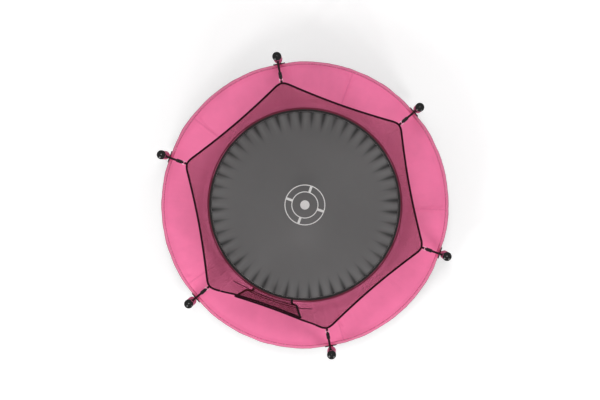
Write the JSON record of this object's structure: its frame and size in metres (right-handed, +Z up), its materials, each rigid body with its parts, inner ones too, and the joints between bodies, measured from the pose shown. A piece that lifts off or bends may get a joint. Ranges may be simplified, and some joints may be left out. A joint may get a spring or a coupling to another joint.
{
  "type": "trampoline",
  "caption": "Round garden trampoline with a sprung mat, padded rim, foam-covered net poles and an inner safety net hung on straps, entered through overlapping net flaps.",
  "frame": {"origin": "on the floor, below the middle of the mat", "axes": "+Z up, +X towards a net pole, -Y towards the entrance between the net flaps"},
  "size_m": [1.96, 1.8396, 1.8958],
  "materials": {
    "galvanised_steel": "satin",
    "zinc_hardware": "satin",
    "zinc_spring": "satin",
    "pink_foam": "satin",
    "pink_vinyl": "satin",
    "net_mesh": "matte",
    "dark_tape": "matte",
    "black_webbing": "matte",
    "mat_fabric": "matte",
    "black_rubber": "matte",
    "black_plastic": "satin",
    "gloss_black_plastic": "gloss"
  },
  "bodies": {
    "frame": {"top_rail_1": "galvanised_steel", "top_rail_2": "galvanised_steel", "top_rail_3": "galvanised_steel", "top_rail_4": "galvanised_steel", "top_rail_5": "galvanised_steel", "top_rail_6": "galvanised_steel", "u_leg_1": "galvanised_steel", "u_leg_2": "galvanised_steel", "u_leg_3": "galvanised_steel", "lower_pole_1": "galvanised_steel", "lower_pole_2": "galvanised_steel", "lower_pole_3": "galvanised_steel", "lower_pole_4": "galvanised_steel", "lower_pole_5": "galvanised_steel", "lower_pole_6": "galvanised_steel", "upper_pole_1": "galvanised_steel", "upper_pole_2": "galvanised_steel", "upper_pole_3": "galvanised_steel", "upper_pole_4": "galvanised_steel", "upper_pole_5": "galvanised_steel", "upper_pole_6": "galvanised_steel", "foam_sleeve_1": "pink_foam", "foam_sleeve_2": "pink_foam", "foam_sleeve_3": "pink_foam", "foam_sleeve_4": "pink_foam", "foam_sleeve_5": "pink_foam", "foam_sleeve_6": "pink_foam", "net_panel_1": "net_mesh", "net_panel_2": "net_mesh", "net_panel_3": "net_mesh", "net_panel_4": "net_mesh", "net_panel_5": "net_mesh", "leg_sockets": "galvanised_steel", "socket_screws": "zinc_hardware", "leg_feet": "black_rubber", "pole_plugs": "black_plastic", "pole_caps": "gloss_black_plastic", "pole_brackets": "black_plastic", "bracket_bolts": "zinc_hardware", "bracket_nuts": "zinc_hardware", "springs": "zinc_spring", "spring_pad": "pink_vinyl", "pad_skirt": "pink_vinyl", "pad_ties": "black_webbing", "net_hem": "dark_tape", "net_rim_tape": "black_webbing", "entrance_strips": "net_mesh", "net_straps": "black_webbing", "strap_buckles": "black_plastic", "strap_links": "zinc_hardware", "corner_loops": "black_webbing"},
    "bed": {"jumping_mat": "mat_fabric", "mat_webbing": "black_webbing", "ring_tabs": "black_webbing", "v_rings": "zinc_spring"},
    "inner_flap": {"flap_inner": "net_mesh", "flap_inner_binding": "black_webbing"},
    "outer_flap": {"flap_outer": "net_mesh", "flap_outer_binding": "black_webbing"}
  },
  "joints": [
    {"name": "mat_bounce", "type": "slide", "parent": "frame", "child": "bed", "axis": [0, 0, -1], "range_m": [0, 0.08], "stiffness_N_per_m": 4000, "springref_m": -0.01, "deforming": ["springs"]},
    {"name": "inner_flap_swing", "type": "hinge", "parent": "frame", "child": "inner_flap", "pos_m": [-0.25396, -0.56779, 0.4972], "axis": [-0.048, -0.088, 0.995], "range_deg": [0, 40], "stiffness_Nm_per_rad": 0.4, "springref_deg": -11.46},
    {"name": "outer_flap_swing", "type": "hinge", "parent": "frame", "child": "outer_flap", "pos_m": [0.25396, -0.56779, 0.4972], "axis": [0.048, -0.088, 0.995], "range_deg": [0, 40], "stiffness_Nm_per_rad": 0.4, "springref_deg": -11.46}
  ]
}
